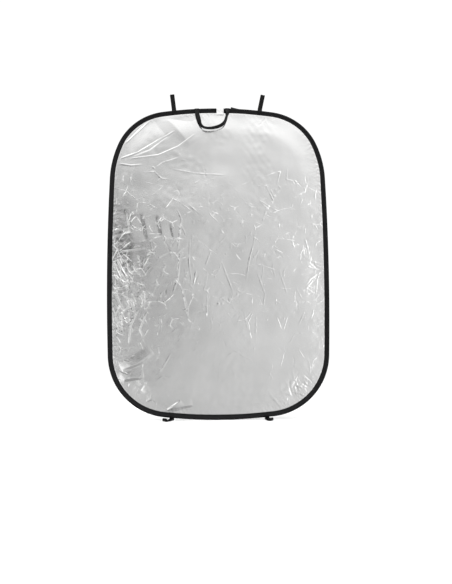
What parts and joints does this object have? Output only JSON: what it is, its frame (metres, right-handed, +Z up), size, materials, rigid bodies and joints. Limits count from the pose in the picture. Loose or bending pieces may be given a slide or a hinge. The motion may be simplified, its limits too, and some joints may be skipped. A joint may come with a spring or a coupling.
{
  "type": "collapsible reflector panel",
  "caption": "Large rounded-rectangular twist-fold light reflector: silver and white cloth on a flat spring hoop, with bound rim, handle strap and webbing loops.",
  "frame": {"origin": "lowest point of the rim, at the middle of its width and of its thickness", "axes": "+X to the panel's right as seen from the silver side, -Y out of the silver side, +Z up towards the handle"},
  "size_m": [1.2008, 0.0956, 1.7985],
  "materials": {
    "spring_steel": "blued flat spring steel",
    "splice_steel": "plated, crimped",
    "shrink_tube": "shrunk polyolefin",
    "silver_cloth": "metal-coated taffeta, satin, creased",
    "white_cloth": "matt white taffeta, creased",
    "binding_tape": "black nylon grosgrain tape",
    "black_thread": "bonded polyester thread",
    "white_thread": "polyester thread",
    "label_cloth": "woven satin label, blank",
    "loop_webbing": "25 mm polypropylene webbing",
    "handle_webbing": "25 mm nylon webbing"
  },
  "bodies": {
    "panel": {"spring_hoop": "spring_steel", "splice_ferrule": "splice_steel", "splice_shrink_tube": "shrink_tube", "silver_fabric": "silver_cloth", "white_fabric": "white_cloth", "edge_binding": "binding_tape", "binding_needle_thread": "black_thread", "binding_bobbin_thread": "black_thread", "woven_label": "label_cloth", "label_stitching": "white_thread", "handle_left_end": "handle_webbing", "handle_right_end": "handle_webbing", "handle_bar_tacks": "black_thread", "loop_bar_tacks": "black_thread", "top_left_loop_sewn_end": "loop_webbing", "top_right_loop_sewn_end": "loop_webbing", "bottom_left_loop_sewn_end": "loop_webbing", "bottom_right_loop_sewn_end": "loop_webbing"},
    "handle": {"handle_strap": "handle_webbing"},
    "top_left_fold": {"top_left_loop": "loop_webbing"},
    "top_right_fold": {"top_right_loop": "loop_webbing"},
    "bottom_left_fold": {"bottom_left_loop": "loop_webbing"},
    "bottom_right_fold": {"bottom_right_loop": "loop_webbing"}
  },
  "joints": [
    {"name": "handle_swing", "type": "hinge", "parent": "panel", "child": "handle", "pos_m": [-0.03017, 0, 1.70739], "axis": [-0.9999, 0, -0.014], "range_deg": [0, 180]},
    {"name": "top_left_loop_fold", "type": "hinge", "parent": "panel", "child": "top_left_fold", "pos_m": [-0.24451, 0, 1.71014], "axis": [0.9937, 0, 0.1123], "range_deg": [-120, 120], "stiffness_Nm_per_rad": 0.02},
    {"name": "top_right_loop_fold", "type": "hinge", "parent": "panel", "child": "top_right_fold", "pos_m": [0.23869, 0, 1.71079], "axis": [0.994, 0, -0.1097], "range_deg": [-120, 120], "stiffness_Nm_per_rad": 0.02},
    {"name": "bottom_left_loop_fold", "type": "hinge", "parent": "panel", "child": "bottom_left_fold", "pos_m": [-0.24886, 0, 0.0029], "axis": [0.9954, 0, -0.0954], "range_deg": [-15, 205], "stiffness_Nm_per_rad": 0.02},
    {"name": "bottom_right_loop_fold", "type": "hinge", "parent": "panel", "child": "bottom_right_fold", "pos_m": [0.24986, 0, 0.00299], "axis": [0.9954, 0, 0.0958], "range_deg": [-15, 205], "stiffness_Nm_per_rad": 0.02}
  ]
}
